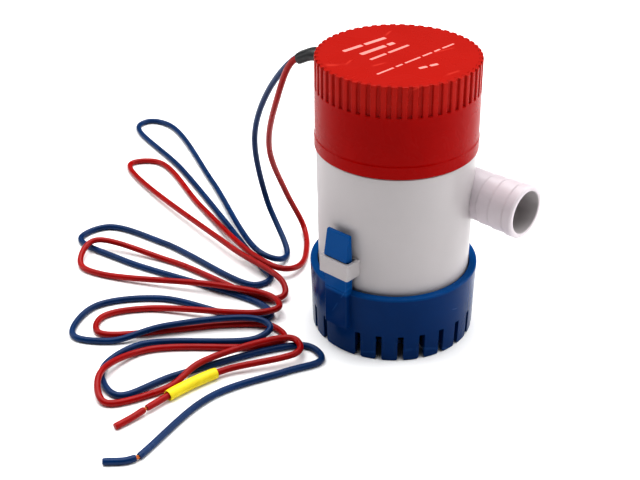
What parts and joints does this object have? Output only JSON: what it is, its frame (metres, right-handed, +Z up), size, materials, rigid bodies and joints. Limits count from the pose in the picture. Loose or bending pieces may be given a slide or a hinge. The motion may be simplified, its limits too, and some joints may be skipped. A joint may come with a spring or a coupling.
{
  "type": "submersible bilge pump",
  "caption": "Cartridge bilge pump: slotted blue strainer base with snap latches, white body with side hose outlet, ribbed red motor cap and loose supply wires.",
  "frame": {"origin": "centre of the foot under the strainer base, on the pump's axis and in the plane it stands on", "axes": "+Z up along the motor shaft; +X the way the water leaves the outlet nozzle; the wires leave the cap towards -X"},
  "size_m": [0.2663, 0.2017, 0.1145],
  "materials": {
    "blue_plastic": "gloss",
    "white_plastic": "satin",
    "red_plastic": "satin",
    "grey_plastic": "satin",
    "black_rubber": "matte",
    "steel": "brushed",
    "zinc_steel": "satin",
    "ferrite": "matte",
    "copper": "satin",
    "bronze": "satin",
    "graphite": "matte",
    "ceramic": "satin",
    "red_pvc": "gloss",
    "blue_pvc": "gloss",
    "yellow_pvc": "satin"
  },
  "bodies": {
    "pump": {"strainer_base": "blue_plastic", "pump_body": "white_plastic", "inlet_plate": "white_plastic", "cap_seal_ring": "black_rubber", "motor_cap": "red_plastic", "motor_chamber": "grey_plastic", "shaft_seal": "black_rubber", "seal_retainer": "steel", "motor_can": "zinc_steel", "motor_screw_left": "steel", "motor_screw_right": "steel", "magnet_left": "ferrite", "magnet_right": "ferrite", "magnet_clip": "steel", "bearing_lower": "bronze", "motor_end_bell": "grey_plastic", "bearing_upper": "bronze", "brush_left": "graphite", "brush_arm_left": "copper", "terminal_left": "bronze", "brush_right": "graphite", "brush_arm_right": "copper", "terminal_right": "bronze", "suppressor_capacitor": "ceramic", "cable_sleeve": "black_rubber", "potting_plug": "black_rubber", "blue_wire": "blue_pvc", "red_wire": "red_pvc", "blue_end_sleeve": "blue_pvc", "red_end_sleeve": "red_pvc", "yellow_tag_sleeve": "yellow_pvc", "lead_blue": "blue_pvc", "lead_red": "red_pvc"},
    "rotor": {"motor_shaft": "steel", "armature_core": "zinc_steel", "armature_coil_1": "copper", "armature_coil_2": "copper", "armature_coil_3": "copper", "commutator": "copper", "impeller": "red_plastic"},
    "latch_left": {"latch_arm_left": "blue_plastic"},
    "latch_right": {"latch_arm_right": "blue_plastic"}
  },
  "joints": [
    {"name": "rotor_spin", "type": "hinge", "parent": "pump", "child": "rotor", "pos_m": [0, 0, 0.05], "axis": [0, 0, 1], "continuous": true},
    {"name": "latch_left_flex", "type": "hinge", "parent": "pump", "child": "latch_left", "pos_m": [0, -0.0329, 0.0295], "axis": [-1, 0, 0], "range_deg": [0, 4.3], "stiffness_Nm_per_rad": 0.6},
    {"name": "latch_right_flex", "type": "hinge", "parent": "pump", "child": "latch_right", "pos_m": [0, 0.0329, 0.0295], "axis": [1, 0, 0], "range_deg": [0, 4.3], "stiffness_Nm_per_rad": 0.6}
  ]
}
